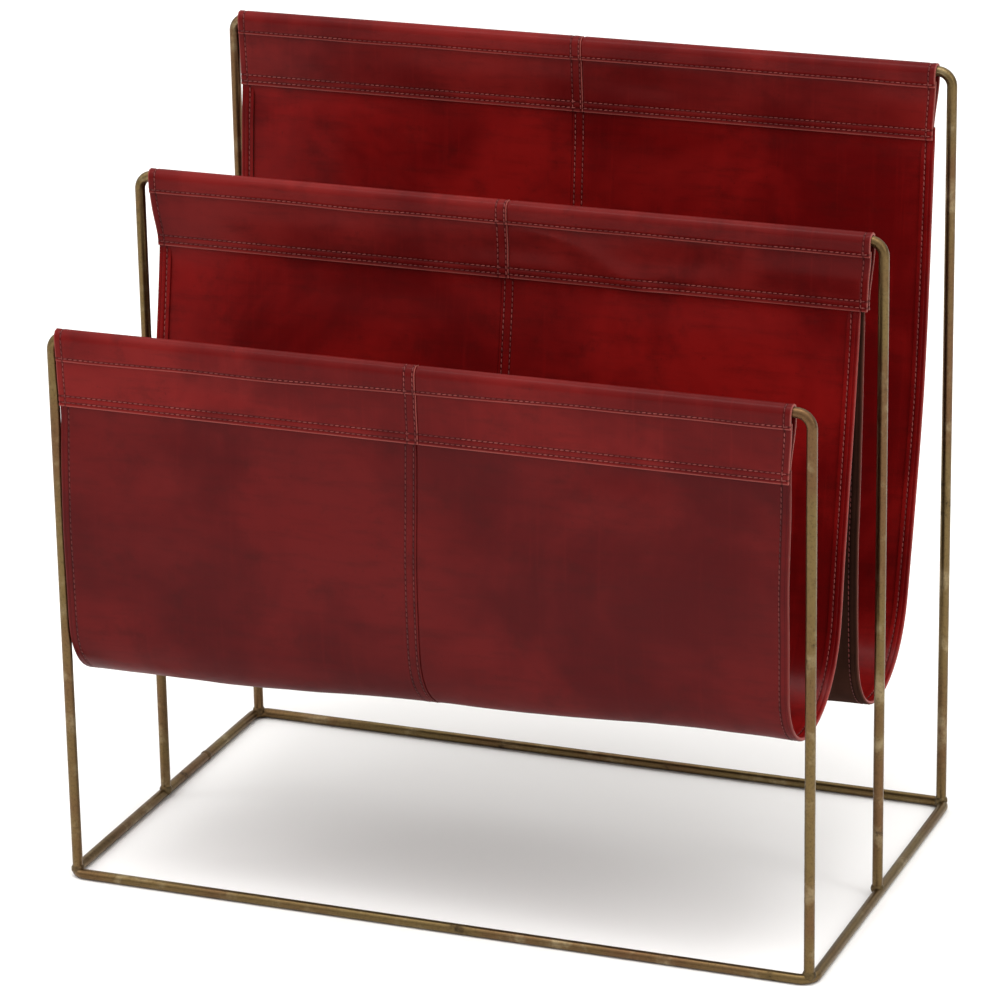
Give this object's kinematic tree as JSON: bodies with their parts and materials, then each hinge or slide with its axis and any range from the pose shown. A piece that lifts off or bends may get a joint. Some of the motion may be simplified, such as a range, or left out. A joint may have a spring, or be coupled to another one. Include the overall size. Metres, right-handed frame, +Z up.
{
  "type": "magazine file holder",
  "caption": "Floor-standing magazine holder: leather slings hung from stepped hoops of round metal bar on a bent ring base, forming open pockets for magazines and files.",
  "frame": {"origin": "on the floor, under the middle of the base ring", "axes": "+X along the bars towards the viewer's right, +Y from the low front hoop to the tall rear hoop, +Z up"},
  "size_m": [0.4861, 0.2876, 0.4857],
  "materials": {
    "brass_bar": "aged satin brass plating",
    "weld": "dull, dressed weld under the same plating",
    "leather": "waxed, mottled dark red, semi-gloss",
    "thread": "waxed red stitching thread"
  },
  "bodies": {
    "frame": {"base_ring": "brass_bar", "front_hoop": "brass_bar", "middle_hoop": "brass_bar", "rear_hoop": "brass_bar", "front_weld_left": "weld", "front_weld_right": "weld", "middle_weld_left": "weld", "middle_weld_right": "weld", "rear_weld_left": "weld", "rear_weld_right": "weld", "ring_weld": "weld"},
    "leather": {"front_cap_left": "leather", "front_cap_right": "leather", "front_facing_left": "leather", "front_facing_right": "leather", "middle_cap_left": "leather", "middle_cap_right": "leather", "middle_facing_left": "leather", "middle_facing_right": "leather", "rear_cap_left": "leather", "rear_cap_right": "leather", "rear_facing_left": "leather", "rear_facing_right": "leather", "front_sling_left": "leather", "front_sling_right": "leather", "rear_sling_left": "leather", "rear_sling_right": "leather"}
  },
  "joints": [
    {"name": "sling_shift", "type": "slide", "parent": "frame", "child": "leather", "axis": [1, 0, 0], "range_m": [0, 0.003]}
  ]
}
